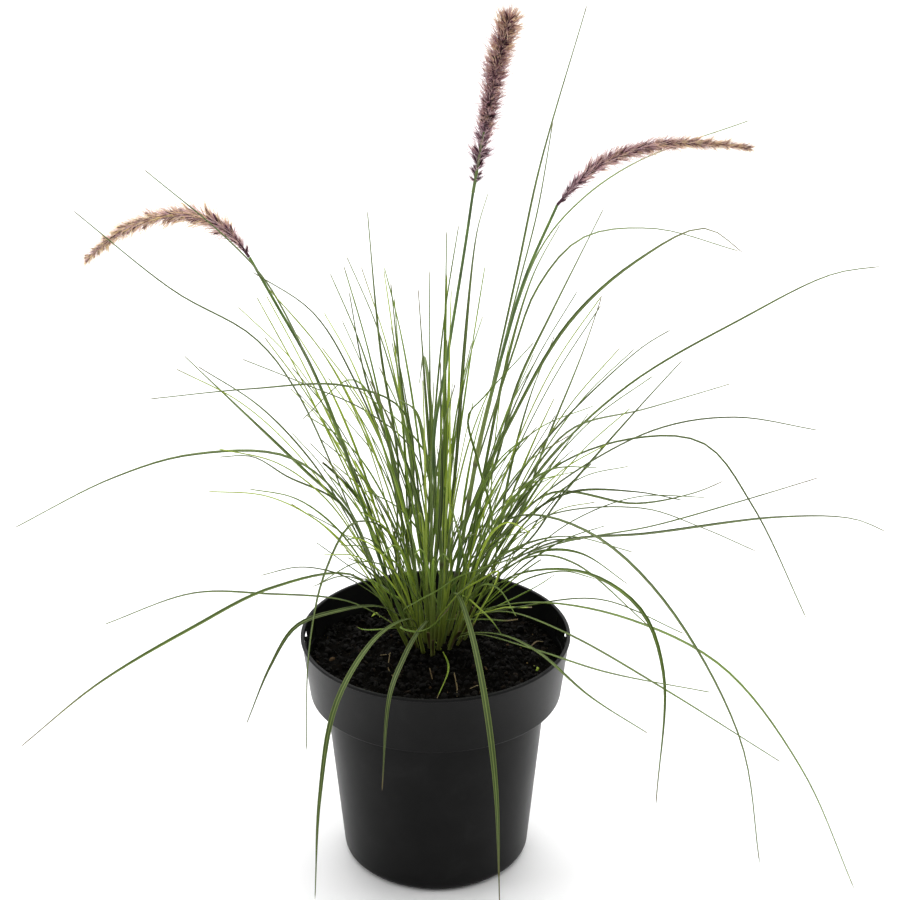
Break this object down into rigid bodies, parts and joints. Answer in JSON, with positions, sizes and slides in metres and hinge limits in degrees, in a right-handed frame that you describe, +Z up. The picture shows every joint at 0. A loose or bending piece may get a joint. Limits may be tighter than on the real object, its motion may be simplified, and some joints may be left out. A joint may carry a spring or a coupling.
{
  "type": "potted swamp foxtail grass",
  "caption": "Fountain grass in a tapered black plastic grower's pot of soil: a tuft of thin arching leaves under purple bottle-brush flower heads on tall stems",
  "frame": {"origin": "the middle of the pot's underside, on the surface it stands on", "axes": "+Z up, -Y towards the front, +X to the right as seen from the front"},
  "size_m": [0.603, 0.4093, 0.6354],
  "materials": {
    "pot_plastic": "satin injection-moulded polypropylene, nearly black",
    "potting_soil": "moist crumbly peat",
    "grass_leaf": "satin green leaf, paler at the sheath and dry at the tip",
    "grass_stem": "smooth green flowering stem",
    "flower_head": "dusky purple spikelets with pink and straw-coloured bristles"
  },
  "bodies": {
    "root": {"pot": "pot_plastic", "soil": "potting_soil", "tiller_01": "grass_leaf", "tiller_02": "grass_leaf", "tiller_03": "grass_leaf", "tiller_04": "grass_leaf", "tiller_05": "grass_leaf", "tiller_06": "grass_leaf", "tiller_07": "grass_leaf", "tiller_08": "grass_leaf", "tiller_09": "grass_leaf", "tiller_10": "grass_leaf", "tiller_11": "grass_leaf", "tiller_12": "grass_leaf", "tiller_13": "grass_leaf", "tiller_14": "grass_leaf", "tiller_15": "grass_leaf", "tiller_16": "grass_leaf", "tiller_17": "grass_leaf", "tiller_18": "grass_leaf", "tiller_19": "grass_leaf", "tiller_20": "grass_leaf", "tiller_21": "grass_leaf", "tiller_22": "grass_leaf", "tiller_23": "grass_leaf", "tiller_24": "grass_leaf", "tiller_25": "grass_leaf", "tiller_26": "grass_leaf", "tiller_27": "grass_leaf", "tiller_28": "grass_leaf", "tiller_29": "grass_leaf", "tiller_30": "grass_leaf", "tiller_31": "grass_leaf", "tiller_32": "grass_leaf", "tiller_33": "grass_leaf", "tiller_34": "grass_leaf", "culm_centre": "grass_stem", "head_centre": "flower_head", "culm_right": "grass_stem", "head_right": "flower_head", "culm_left": "grass_stem", "head_left": "flower_head"}
  },
  "joints": []
}
